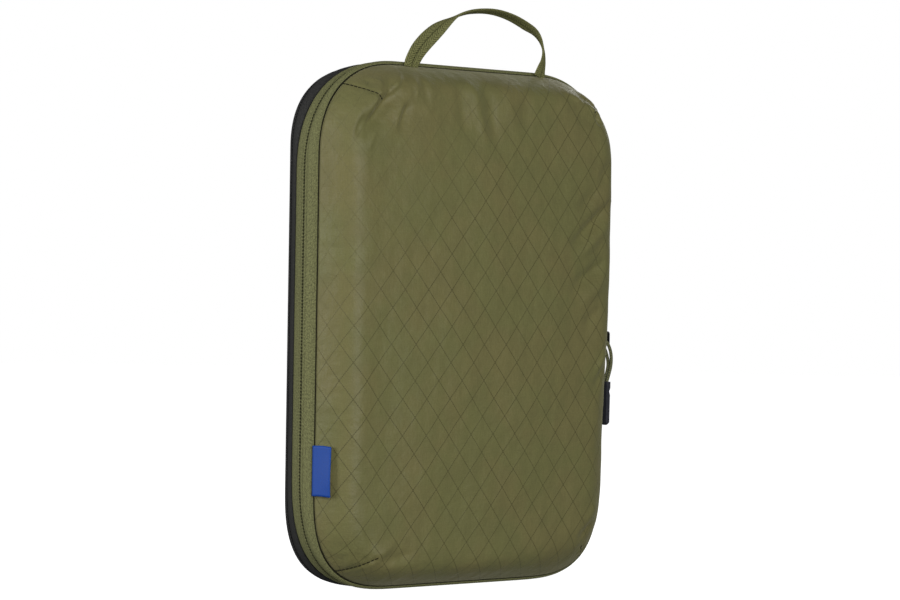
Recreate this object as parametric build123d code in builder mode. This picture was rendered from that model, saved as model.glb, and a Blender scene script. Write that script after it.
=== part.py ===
from build123d import *
import math
import os

os.makedirs("parts", exist_ok=True)

# A compression packing cube standing on its bottom wall. Millimetres: X is the width, with the
# hinge side at +X, -Y is the front panel, +Y the rear lid, and Z is up. The origin is on the
# surface it stands on, in the middle of its width, under the rear half of the front zipper.

# Driving dimensions
body_width = 264.5  # over the compression coil, the widest line round the cube
body_height = 353.5
front = -13.0  # depth of the front panel's seam
seam_inset = 5.75  # that seam, inside the widest outline at the sides
seam_low, seam_drop = 2.0, 2.25  # above its bottom and below its top
foot = -0.3  # the bottom of the wall is drawn this low and cut flat at zero
cloth = 1.0  # every panel, tape and strap of thin cloth is drawn this thick
gap = 1.2  # between the two tapes of a zipper
coil = 1.6  # width and height of one half of a zipper's coil
binding_height = 4.8
binding = 1.6
play = 0.4  # clearance between a slider's plates and the zipper

hinge_low, hinge_high, hinge_end = 88.0, 236.0, 256.0  # heights of the lid's cloth hinge
hinge_reach = front + 33.2  # depth where the hinge strip stops
clear = 0.3  # between solids that move past each other

slider_width, slider_length, plate = 7.0, 12.0, 1.0
bridge_width, bridge_length, bridge_bar, bridge_gap = 2.6, 10.4, 0.9, 6.6
bridge_leg = 1.7
eye_drop = 1.8  # the cord hangs low in the bridge
compression_slider_low, main_slider_low = 162.3, 240.0
tip_length, tip_width, tip_thick = 31.0, 6.4, 3.8
cord = 2.4  # diameter of a pull's cord

strap_width, strap = 11.5, 1.8
handle_half_span, handle_top, handle_depth = 57.0, 394.6, front - 2.5
handle_middle = 5.0  # to the right of the cube's own middle

label_long, label_tall, label_low = 15.5, 33.0, 64.5


# The side wall and both panels follow rounded rectangles, one at each depth. A station is a
# depth, half a width, the lowest and highest edge and a corner radius. It is given by its inset
# from the cube's widest outline, which is also its drop from the top unless that is given.
def station(depth, inset, corner, low=None, drop=None):
    high = body_height - (inset if drop is None else drop)
    return depth, body_width / 2 - inset, inset if low is None else low, high, corner


compression_line = front + 7.7
main_line = front + 27.0

front_seam = station(front, seam_inset, 64.0, seam_low, seam_drop)
shoulder = station(front + 3.5, 1.2, 73.0, foot, 0.9)
compression_front = station(compression_line - gap / 2, 0.0, 76.0, foot)
compression_rear = station(compression_line + gap / 2, 0.0, 76.0, foot)
middle_seam = station(front + 17.7, 0.75, 75.5, foot)
main_slope_front = station(front + 23.5, 3.5, 70.0, foot)
main_front = station(main_line - gap / 2, 4.1, 69.0, foot)
main_rear = station(main_line + gap / 2, 4.3, 68.0, foot)
main_slope_rear = station(front + 30.5, 5.1, 66.0, 0.8)
rear_seam = station(front + 36.0, 9.7, 60.0, 4.0)


def bulge(out, further, corner):
    """A station of the front panel, that far out of its seam and that far inside it."""
    low, drop = seam_low + further, seam_drop + further
    return station(front - out, seam_inset + further, corner, low, drop)


front_dome = [
    front_seam,
    bulge(7.0, 5.0, 60.0),
    bulge(14.0, 11.0, 55.0),
    bulge(20.0, 19.0, 49.0),
    bulge(25.5, 30.0, 42.0),
    bulge(30.0, 50.0, 34.0),
    bulge(33.0, 80.0, 26.0),
]
rear_dome = [
    rear_seam,
    station(front + 42.0, 14.7, 56.0, 9.0),
    station(front + 47.0, 21.7, 50.0, 16.0),
    station(front + 50.5, 31.7, 42.0, 26.0),
    station(front + 52.0, 45.0, 34.0, 39.0),
]


def across(place, depth=None):
    """The plane across the cube at a station, facing the front."""
    own_depth, _, low, high, _ = place
    y = own_depth if depth is None else depth
    return Plane((0, y, (low + high) / 2), x_dir=(1, 0, 0), z_dir=(0, -1, 0))


def outline(place, inward, mode=Mode.ADD):
    """A station's rounded rectangle, drawn that far inside its own line."""
    _, side, low, high, corner = place
    RectangleRounded(2 * (side - inward), high - low - 2 * inward, corner - inward, mode=mode)


def loops(places, inward=0.0, shift=0.0):
    """One face for each station, to loft through."""
    faces = []
    for place in places:
        with BuildSketch(across(place, place[0] + shift)) as face:
            outline(place, inward)
        faces.append(face.sketch)
    return faces


def wall(places):
    """A band of cloth through the stations, open at the front and the back, with a flat foot."""
    loft(loops(places), ruled=True)
    loft(loops(places, cloth), ruled=True, mode=Mode.SUBTRACT)
    split(bisect_by=Plane.XY, keep=Keep.TOP)


def dome(places, shift):
    """A panel of cloth that closes the front or the back, hollow behind."""
    loft(loops(places), ruled=True)
    loft(loops(places, cloth, shift), ruled=True, mode=Mode.SUBTRACT)


def hoop(place, outer, inner, front, back):
    """A flat-sided hoop between two distances inside a station, from one depth to another."""
    with BuildSketch(across(place, back)) as face:
        outline(place, outer)
        outline(place, inner, Mode.SUBTRACT)
    extrude(face.sketch, amount=back - front)


def right_side(front, back, low, high, mode):
    """A block round a stretch of the right-hand wall, to cut with or to keep."""
    centre = (body_width / 2, (front + back) / 2, (low + high) / 2)
    with Locations(centre):
        Box(60, back - front, high - low, mode=mode)


def finish(part, name):
    part.label = name
    export_step(part, f"parts/{name}.step")


# Front half: panel, seam binding, front tape and coil of the compression zipper, label, handle
with BuildPart() as front_panel:
    dome(front_dome, cloth)
finish(front_panel.part, "front_panel")

with BuildPart() as front_seam_binding:
    hoop(front_seam, 1.2 * cloth, 1.2 * cloth + binding, front + 0.1, front + binding_height)
finish(front_seam_binding.part, "front_seam_binding")

with BuildPart() as compression_tape_front:
    wall([front_seam, shoulder, compression_front])
finish(compression_tape_front.part, "compression_tape_front")

compression_coil_top = 1.75  # the coil's outer side, inside the compression line's outline
with BuildPart() as compression_coil_front:
    edge = compression_line - gap / 2
    hoop(compression_front, compression_coil_top, compression_coil_top + coil, edge - coil, edge)
finish(compression_coil_front.part, "compression_coil_front")

with BuildPart() as side_label:
    seam_x = body_width / 2 - seam_inset
    label_middle = front - label_long / 2 - 0.5
    with Locations((-seam_x - 1.1, label_middle, label_low + label_tall / 2)):
        Box(cloth, label_long, label_tall)
    fillet(side_label.edges().filter_by(Axis.X).group_by(Axis.Y)[0], 1.5)
finish(side_label.part, "side_label")

leg_low = body_height - seam_drop + 0.4
leg_top, arch_low = 368.4, 364.4
arch = [
    (-handle_half_span, arch_low),
    (-51.0, 384.4),
    (-24.0, handle_top),
    (24.0, handle_top),
    (51.0, 384.4),
    (handle_half_span, arch_low),
]
with BuildPart() as handle:
    with BuildLine(Plane.XZ.offset(-handle_depth)) as arch_line:
        places = [(handle_middle + x, z) for x, z in arch]
        FilletPolyline(*places, radius=[18.0, 60.0, 60.0, 18.0])
    with BuildSketch(Plane(arch_line.line @ 0, x_dir=(0, 1, 0), z_dir=arch_line.line % 0)):
        Rectangle(strap_width, strap)
    sweep()
    for side in (-1, 1):
        leg_x = handle_middle + side * handle_half_span
        with Locations((leg_x, handle_depth, (leg_low + leg_top) / 2)):
            Box(strap_width, strap, leg_top - leg_low)
finish(handle.part, "handle")

# Middle ring: rear tape and coil of the compression zipper, the cloth that folds out when it is
# open, the seam behind it, and the front tape and coil of the main zipper
with BuildPart() as compression_tape_rear:
    wall([compression_rear, middle_seam])
finish(compression_tape_rear.part, "compression_tape_rear")

with BuildPart() as compression_coil_rear:
    edge = compression_line + gap / 2
    hoop(compression_rear, compression_coil_top, compression_coil_top + coil, edge, edge + coil)
finish(compression_coil_rear.part, "compression_coil_rear")

gusset_in, gusset_thick = 8.2, 1.4
gusset_back = middle_seam[0] - 0.2
with BuildPart() as expansion_gusset:
    hoop(compression_front, gusset_in, gusset_in + gusset_thick, front + 5.2, gusset_back)
    hoop(compression_front, 2.2, gusset_in + gusset_thick, gusset_back - 1.2, gusset_back)
finish(expansion_gusset.part, "expansion_gusset")

with BuildPart() as middle_seam_binding:
    hoop(middle_seam, 6.0, 6.0 + binding, middle_seam[0], middle_seam[0] + binding_height)
    hoop(middle_seam, 1.6, 6.0 + binding, middle_seam[0], middle_seam[0] + 0.8)
finish(middle_seam_binding.part, "middle_seam_binding")

garage_low, garage_tall = 179.5, 7.5
garage_front, garage_back = front + 4.0, front + 14.5
compression_skin = body_width / 2
with BuildPart() as compression_zip_garage:
    with BuildSketch(Plane.XY.offset(garage_low)):
        with BuildLine():
            Polyline(
                (compression_skin + play, garage_front),
                (compression_skin + play + 1.2, garage_front + 0.6),
                (compression_skin + play + 1.2, garage_back - 1.0),
                (compression_skin + 0.2, garage_back),
                (compression_skin - 0.35, garage_back),
                (compression_skin - 0.2, garage_back - 2.5),
                (compression_skin + play, garage_back - 2.5),
                close=True,
            )
        make_face()
    extrude(amount=garage_tall)
finish(compression_zip_garage.part, "compression_zip_garage")

clip_low, clip_tall, clip_reach = 263.0, 9.5, 6.8
with BuildPart() as compression_end_clip:
    with BuildSketch(Plane.XZ.offset(-compression_line)):
        with BuildLine():
            Polyline(
                (compression_skin + clear, clip_low),
                (compression_skin + clip_reach, clip_low + 2.6),
                (compression_skin + clip_reach, clip_low + 4.8),
                (compression_skin + 1.0, clip_low + clip_tall),
                (compression_skin + clear, clip_low + clip_tall),
                close=True,
            )
        make_face()
    extrude(amount=3.0, both=True)
    with Locations((compression_skin, compression_line + 2.2, clip_low + clip_tall / 2)):
        Box(2 * clear, 1.6, clip_tall)
    split(bisect_by=Plane((compression_skin, 0, 0), z_dir=(1, 0, 0)))
finish(compression_end_clip.part, "compression_end_clip")

with BuildPart() as main_tape_front:
    wall([middle_seam, main_slope_front, main_front])
    right_side(middle_seam[0] - 1, main_line, hinge_low, hinge_high, Mode.SUBTRACT)
finish(main_tape_front.part, "main_tape_front")

main_coil_top = 5.9  # the coil's outer side, inside the cube's widest outline
with BuildPart() as main_coil_front:
    edge = main_line - gap / 2
    inside = main_coil_top - 4.1
    hoop(main_front, inside, inside + coil, edge - coil, edge)
    right_side(edge - coil - 1, main_line, hinge_low, hinge_high, Mode.SUBTRACT)
finish(main_coil_front.part, "main_coil_front")

hinge_stop = station(hinge_reach, 7.4, 63.0, 2.4)
with BuildPart() as hinge_strip:
    wall([middle_seam, main_slope_front, main_front, main_rear, main_slope_rear, hinge_stop])
    low, high = hinge_low + clear / 2, hinge_end - clear / 2
    right_side(front, hinge_reach + 5, low, high, Mode.INTERSECT)
    right_side(front, main_line + gap / 2, hinge_high - clear / 2, hinge_end, Mode.SUBTRACT)
finish(hinge_strip.part, "hinge_strip")

# Rear lid: rear tape and coil of the main zipper, seam binding and panel
with BuildPart() as main_tape_rear:
    wall([main_rear, main_slope_rear, rear_seam])
    right_side(main_line, rear_seam[0] + 1, hinge_low, hinge_end, Mode.SUBTRACT)
finish(main_tape_rear.part, "main_tape_rear")

with BuildPart() as main_coil_rear:
    edge = main_line + gap / 2
    inside = main_coil_top - 4.3
    hoop(main_rear, inside, inside + coil, edge, edge + coil)
    right_side(main_line, edge + coil + 1, hinge_low, hinge_end, Mode.SUBTRACT)
finish(main_coil_rear.part, "main_coil_rear")

with BuildPart() as rear_seam_binding:
    hoop(rear_seam, 7.2, 7.2 + binding, rear_seam[0] + 0.2, rear_seam[0] + binding_height)
finish(rear_seam_binding.part, "rear_seam_binding")

with BuildPart() as rear_panel:
    dome(rear_dome, -cloth)
finish(rear_panel.part, "rear_panel")


def slider_body(line, skin, under, low, nose_up):
    """A zipper slider: a plate each side of the tape, the neck that joins them, and the bridge.

    line is the depth of the coil, skin the tape's outer face and under the coil's inner face,
    both along X, and low the slider's lower end.
    """
    outer, inner = skin + play, under - play - plate
    middle = low + slider_length / 2
    with BuildPart() as body:
        for face in (outer, inner):
            with BuildSketch(Plane.YZ.offset(face)):
                with Locations((line, middle)):
                    RectangleRounded(slider_width, slider_length, 2.4)
            extrude(amount=plate)
        neck_z = middle + (1 if nose_up else -1) * (slider_length / 2 - 2.0)
        with Locations(((outer + inner + plate) / 2, line, neck_z)):
            Box(outer - inner - plate, gap - 2 * clear, 3.0)
        with BuildSketch(Plane.XZ.offset(-line)):
            with Locations((outer + plate + (bridge_gap + bridge_bar) / 2, middle)):
                RectangleRounded(bridge_gap + bridge_bar, bridge_length, 2.0)
            with Locations((outer + plate + bridge_gap / 2, middle)):
                Rectangle(bridge_gap, bridge_length - 2 * bridge_leg, mode=Mode.SUBTRACT)
            with Locations((outer + plate + 1.2, middle)):
                for side in (-1, 1):
                    with Locations((0, side * (bridge_length - bridge_leg) / 2)):
                        Rectangle(2.4, bridge_leg)
        extrude(amount=bridge_width / 2, both=True)
    return body.part


# A pull hangs from its slider's bridge: a loop of cord whose two ends go into a moulded tip.
# The route is half of the loop, from the tip up to the bridge, and the other half mirrors it.
strand = [
    (1.9, 1.3, -29.0),
    (4.4, 1.3, -22.5),
    (5.9, 1.5, -15.5),
    (4.4, 2.6, -7.5),
    (0.0, 2.9, 0.0),
]


def mirrored(route):
    return [(x, -y, z) for x, y, z in route] + list(reversed(route))


def corner_radii(route):
    """0.45 of each corner's shorter run over the tangent of half its turn."""
    radii = []
    for before, at, after in zip(route, route[1:], route[2:]):
        first, second = Vector(*at) - Vector(*before), Vector(*after) - Vector(*at)
        half_turn = math.radians(first.get_angle(second)) / 2
        radii.append(0.45 * min(first.length, second.length) / math.tan(half_turn))
    return radii


def pull_cord(eye):
    """The cord's loop through a bridge, whose lower foot it rests on at eye."""
    route = mirrored(strand)
    radii = corner_radii(route)
    places = [Vector(*eye) + Vector(*point) for point in route]
    with BuildPart() as loop:
        with BuildLine() as line:
            FilletPolyline(*places, radius=radii)
        with BuildSketch(Plane(line.line @ 0, z_dir=line.line % 0)):
            Circle(cord / 2)
        sweep()
    section = math.pi * cord**2 / 4
    length = sum(edge.length for edge in line.edges())
    print("cord", round(length, 2), "mm, radii", [round(r, 1) for r in radii])
    print("  volume over section times length", loop.part.volume / section / length)
    return loop.part


def pull_tip(eye):
    """The moulded tip under the cord, with a finger notch across its outer side."""
    x, y, z = eye
    top = z + strand[0][2]
    middle = x + strand[0][0]
    near, far = middle - tip_thick / 2, middle + tip_thick / 2
    with BuildPart() as tip:
        with BuildSketch(Plane.XZ.offset(-y)):
            with BuildLine():
                Polyline(
                    (near, top),
                    (far, top),
                    (far, top - 4.5),
                    (far - 1.1, top - 6.8),
                    (far - 0.3, top - 9.5),
                    (far - 0.6, top - tip_length + 2.0),
                    (far - 2.0, top - tip_length),
                    (near + 1.4, top - tip_length),
                    (near, top - tip_length + 2.0),
                    close=True,
                )
            make_face()
        extrude(amount=tip_width / 2, both=True)
        ends = tip.edges().filter_by(Axis.X).group_by(Axis.Z)[0]
        fillet(ends, 2.2)
    return tip.part


compression_eye = (
    compression_skin + play + plate + bridge_gap / 2,
    compression_line,
    compression_slider_low + slider_length / 2 - eye_drop,
)
finish(
    slider_body(
        compression_line,
        compression_skin,
        body_width / 2 - compression_coil_top - coil,
        compression_slider_low,
        True,
    ),
    "compression_slider",
)
finish(pull_cord(compression_eye), "compression_pull_cord")
finish(pull_tip(compression_eye), "compression_pull_tip")

main_skin = body_width / 2 - 3.5
main_eye = (
    main_skin + play + plate + bridge_gap / 2,
    main_line,
    main_slider_low + slider_length / 2 - eye_drop,
)
finish(
    slider_body(
        main_line,
        main_skin,
        body_width / 2 - main_coil_top - coil,
        main_slider_low,
        False,
    ),
    "main_slider",
)
finish(pull_cord(main_eye), "main_pull_cord")
finish(pull_tip(main_eye), "main_pull_tip")
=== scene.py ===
import math

import bmesh
import bpy
import numpy as np
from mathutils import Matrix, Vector


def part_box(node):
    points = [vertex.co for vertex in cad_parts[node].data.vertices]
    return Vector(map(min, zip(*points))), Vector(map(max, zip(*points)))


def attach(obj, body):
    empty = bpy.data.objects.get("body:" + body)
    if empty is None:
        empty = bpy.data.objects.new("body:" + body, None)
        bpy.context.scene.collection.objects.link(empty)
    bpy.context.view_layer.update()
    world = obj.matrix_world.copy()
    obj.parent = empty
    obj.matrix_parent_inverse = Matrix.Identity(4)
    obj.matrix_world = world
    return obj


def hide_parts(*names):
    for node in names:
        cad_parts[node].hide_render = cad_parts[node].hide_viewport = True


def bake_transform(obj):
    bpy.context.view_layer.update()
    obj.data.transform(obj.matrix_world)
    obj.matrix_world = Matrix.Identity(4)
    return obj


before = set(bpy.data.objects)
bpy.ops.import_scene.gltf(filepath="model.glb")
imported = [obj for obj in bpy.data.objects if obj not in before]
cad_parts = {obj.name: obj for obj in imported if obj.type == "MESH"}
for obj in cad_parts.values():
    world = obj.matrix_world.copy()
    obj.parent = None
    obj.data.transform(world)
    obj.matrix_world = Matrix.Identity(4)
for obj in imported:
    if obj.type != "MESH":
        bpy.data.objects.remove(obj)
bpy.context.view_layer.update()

# Shapes are worked out in millimetres and become metres in make_mesh. X is the cube's width,
# -Y its front, Z is up.
MM = 0.001


def box_mm(node):
    """A CAD node's lowest and highest corners in millimetres."""
    low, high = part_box(node)
    return np.array(low) / MM, np.array(high) / MM


# -------- the cube's own lines
panel_low, panel_high = box_mm("front_panel")
ring_low, ring_high = box_mm("compression_tape_rear")
black_low, black_high = box_mm("main_tape_front")
lid_low, lid_high = box_mm("rear_panel")
hinge_low, hinge_high = (corner[2] for corner in box_mm("hinge_strip"))
SLIDER_HALF = 3.5  # from a slider's front face back to the middle of its zipper
coil_y = box_mm("compression_slider")[0][1] + SLIDER_HALF  # depth of the compression zipper
main_y = box_mm("main_slider")[0][1] + SLIDER_HALF  # depth of the main zipper

TOP_POWER, FOOT_POWER = 2.3, 2.9  # the corners are squarer than circles, most of all at the foot
STRAIGHT, TURN = 60, 30  # points along each half side and each corner
RADIUS_SHARE = 0.6  # how much of an inset comes off the corner radii


class Line:
    """A closed line round the cube: depth, half width, lowest and highest edge, corner radii."""

    def __init__(self, depth, side, low, high, top, foot):
        self.depth, self.side, self.low, self.high = depth, side, low, high
        self.top, self.foot = top, foot

    @property
    def middle(self):
        return (self.low + self.high) / 2

    @property
    def half(self):
        return (self.high - self.low) / 2

    def inside(self, inset, depth):
        """The same line drawn further in, at another depth."""
        less = inset * RADIUS_SHARE
        return Line(
            depth, self.side - inset, self.low + inset, self.high - inset,
            self.top - less, self.foot - less,
        )

    def points(self):
        """X and Z round the line, anticlockwise from the middle of its right side."""
        start = before = np.array([self.side, self.middle])
        pieces = []
        for k, (sx, sz) in enumerate([(1, 1), (-1, 1), (-1, -1), (1, -1)]):
            radius, power = (self.top, TOP_POWER) if sz > 0 else (self.foot, FOOT_POWER)
            angle = np.linspace(0, math.pi / 2, TURN + 1)
            along, across = np.cos(angle) ** (2 / power), np.sin(angle) ** (2 / power)
            if k % 2:
                along, across = across, along
            edge = self.high if sz > 0 else self.low
            x = sx * (self.side - radius + radius * along)
            z = edge - sz * (radius - radius * across)
            corner = np.stack([x, z], 1)
            pieces += [stretch(before, corner[0], 2 * STRAIGHT if k else STRAIGHT), corner[:-1]]
            before = corner[-1]
        pieces.append(stretch(before, start, STRAIGHT))
        return np.concatenate(pieces)


def stretch(start, end, steps):
    """Points from start up to, but not at, end."""
    t = np.linspace(0, 1, steps, endpoint=False)[:, None]
    return start + (end - start) * t


def line_from(low, high, depth, top, foot):
    """A line round a CAD node's box, at a depth, with its corner radii."""
    return Line(depth, (high[0] - low[0]) / 2, low[2], high[2], top, foot)


def between(a, b, share, depth=None, out=0.0):
    """A line part of the way from one to another, moved out by a little."""
    def part(name):
        return getattr(a, name) + (getattr(b, name) - getattr(a, name)) * share

    made = Line(*[part(n) for n in ("depth", "side", "low", "high", "top", "foot")])
    if depth is not None:
        made.depth = depth
    made.side, made.low, made.high = made.side + out, max(made.low - out, 0), made.high + out
    return made


def turned_in(line, *rows):
    """Lines beside a seam, where a tape turns in: how far inside it and behind it."""
    return [line.inside(inset, line.depth + behind) for inset, behind in rows]


def bulge(a, b, *rows):
    """Lines across the cloth between two others: the share of the way and how far out."""
    return [between(a, b, share, out=out) for share, out in rows]


front_seam = line_from(panel_low, panel_high, panel_high[1], top=64.0, foot=70.0)
compression_line = line_from(ring_low, ring_high, coil_y, top=78.0, foot=84.0)
middle_seam = line_from(black_low, black_high, black_low[1], top=76.0, foot=84.0)
MAIN_DIP = 3.4  # how far the wall is drawn in at the main zipper
main_line = middle_seam.inside(MAIN_DIP, main_y)
main_line.low, main_line.top, main_line.foot = 0.0, 58.0, 76.0
rear_seam = line_from(lid_low, lid_high, lid_low[1], top=50.0, foot=66.0)
centre_z = front_seam.middle


# -------- meshes
def new_object(name, data):
    made = bpy.data.objects.new(name, data)
    bpy.context.scene.collection.objects.link(made)
    return made


def make_mesh(name, points, faces, uv):
    """A smooth mesh piece from points in millimetres, with one UV pair for each point."""
    mesh = bpy.data.meshes.new(name)
    mesh.from_pydata((np.asarray(points) * MM).tolist(), [], [list(f) for f in faces])
    mesh.update()
    layer = mesh.uv_layers.new(name="cloth")
    index = np.zeros(len(mesh.loops), np.int32)
    mesh.loops.foreach_get("vertex_index", index)
    layer.data.foreach_set("uv", np.asarray(uv, np.float32)[index].ravel())
    mesh.polygons.foreach_set("use_smooth", [True] * len(mesh.polygons))
    return new_object(name, mesh)


def grid_faces(rows, columns, closed_rows=False, closed_columns=False):
    """Quads over a grid of points that is stored row by row."""
    faces = []
    for r in range(rows if closed_rows else rows - 1):
        for c in range(columns if closed_columns else columns - 1):
            r2, c2 = (r + 1) % rows, (c + 1) % columns
            faces.append((r * columns + c, r * columns + c2, r2 * columns + c2, r2 * columns + c))
    return faces


def lengths_along(points):
    """How far along a path each of its points is."""
    steps = np.linalg.norm(np.diff(points, axis=0), axis=1)
    return np.concatenate([[0], np.cumsum(steps)])


def sampled(path, along, marks):
    """The points of a path at the given lengths along it."""
    return np.stack([np.interp(marks, along, column) for column in path.T], 1)


def blend_share(value, start, end):
    """0 before start, 1 after end, and a smooth turn between them."""
    t = np.clip((value - start) / (end - start), 0, 1)
    return t * t * (3 - 2 * t)


TUBE_SIDES = 8


def add_tube(points, faces, uv, rings):
    """Adds a closed tube: the middle, radius and two directions across of each ring."""
    base = len(points)
    for r, (middle, radius, one, two) in enumerate(rings):
        for n in range(TUBE_SIDES):
            t = 2 * math.pi * n / TUBE_SIDES
            points.append(middle + radius * (math.cos(t) * one + math.sin(t) * two))
            uv.append((r, n / TUBE_SIDES))
    for r in range(len(rings) - 1):
        a, b = base + r * TUBE_SIDES, base + (r + 1) * TUBE_SIDES
        for n in range(TUBE_SIDES):
            m = (n + 1) % TUBE_SIDES
            faces.append((a + n, a + m, b + m, b + n))
    last = base + (len(rings) - 1) * TUBE_SIDES
    faces.append(tuple(base + n for n in reversed(range(TUBE_SIDES))))
    faces.append(tuple(last + n for n in range(TUBE_SIDES)))


def settle(piece):
    """Writes a piece's modifiers into its mesh."""
    graph = bpy.context.evaluated_depsgraph_get()
    mesh = bpy.data.meshes.new_from_object(piece.evaluated_get(graph))
    piece.modifiers.clear()
    piece.data = mesh


def thicken(piece, thickness, offset):
    """Gives a sheet of cloth its thickness in millimetres."""
    solid = piece.modifiers.new("thickness", "SOLIDIFY")
    solid.thickness, solid.offset = thickness * MM, offset
    settle(piece)


def clean(piece, closed):
    """Turns a closed piece's faces outwards, or takes away the points that no face uses."""
    work = bmesh.new()
    work.from_mesh(piece.data)
    if closed:
        bmesh.ops.recalc_face_normals(work, faces=work.faces)
    else:
        loose = [v for v in work.verts if not v.link_faces]
        bmesh.ops.delete(work, geom=loose, context="VERTS")
    work.to_mesh(piece.data)
    work.free()


def dress(piece, material, nodes=(), body=None):
    """Gives a piece its material and slot, the CAD nodes it stands for, and a body to ride on."""
    piece.data.materials.append(material)
    if nodes:
        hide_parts(*nodes)
    if body:
        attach(piece, body)


# -------- camera, light and floor
CAMERA_TURN = math.radians(39.9)  # how far the camera stands round to the cube's left
CAMERA_ROLL = math.radians(0.9)
CAMERA_AWAY, CAMERA_HEIGHT = 1.95, 0.1943  # metres
SENSOR, LENS = 36, 114.32  # millimetres
SHIFT = -0.0164444  # of the picture's width

# Name, place, what it points at, width and height, watts.
LIGHTS = [
    ("key", (-1.1, -1.4, 1.1), (-0.05, 0, 0.2), (0.9, 0.9), 7.5),
    ("fill", (-0.95, -2.15, 0.38), (0, 0, 0.19), (1.2, 0.8), 26.5),
    ("side", (-1.7, 0.7, 0.5), (0, 0, 0.2), (0.5, 1.1), 18),
    ("low", (-0.2, -1.4, 0.1), (0, 0, 0.05), (1.0, 0.15), 4),
    ("back", (1.3, 0.6, 0.9), (0, 0, 0.25), (0.6, 0.6), 3),
]


def make_camera():
    """A long lens at the height of the cube's middle, level, from the cube's left."""
    data = bpy.data.cameras.new("camera")
    data.sensor_width, data.lens, data.shift_x = SENSOR, LENS, SHIFT
    camera = new_object("camera", data)
    away = Vector((-math.sin(CAMERA_TURN), -math.cos(CAMERA_TURN), 0))
    seam = Vector((0, front_seam.depth * MM, CAMERA_HEIGHT))
    camera.location = seam + away * CAMERA_AWAY
    camera.rotation_euler = (-away).to_track_quat("-Z", "Y").to_euler()
    camera.rotation_euler.rotate_axis("Z", CAMERA_ROLL)
    bpy.context.scene.camera = camera


def area_light(name, place, target, size, power):
    data = bpy.data.lights.new(name, "AREA")
    data.shape = "RECTANGLE"
    data.size, data.size_y = size
    data.energy = power
    light = new_object(name, data)
    light.location = place
    light.rotation_euler = (Vector(target) - Vector(place)).to_track_quat("-Z", "Y").to_euler()


def make_stage():
    """The pale floor, the studio's white surroundings and its lamps."""
    bpy.ops.mesh.primitive_circle_add(vertices=96, radius=6, fill_type="NGON", location=(0, 0, 0))
    floor = bpy.context.object
    floor.name = "floor"
    floor.visible_diffuse = floor.visible_glossy = False
    floor.data.materials.append(pale_floor())
    world = bpy.data.worlds.new("studio")
    bpy.context.scene.world = world
    world.use_nodes = True
    nodes, link = world.node_tree.nodes, world.node_tree.links.new
    nodes.clear()
    kinds = ("OutputWorld", "MixShader", "Background", "Background", "LightPath")
    out, mix, seen, lit, path = (nodes.new("ShaderNode" + kind) for kind in kinds)
    seen.inputs["Color"].default_value = (1, 1, 1, 1)
    lit.inputs["Color"].default_value = (0.75, 0.78, 0.82, 1)
    lit.inputs["Strength"].default_value = 0.10
    link(path.outputs["Is Camera Ray"], mix.inputs[0])
    link(lit.outputs[0], mix.inputs[1])
    link(seen.outputs[0], mix.inputs[2])
    link(mix.outputs[0], out.inputs["Surface"])
    for light in LIGHTS:
        area_light(*light)


# -------- materials
def shade(colour, gain=1.0, lift=0.0):
    """A colour made lighter or darker, with its alpha, for a shader's socket."""
    return tuple(min(1.0, c * gain + lift) for c in colour) + (1.0,)


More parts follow.
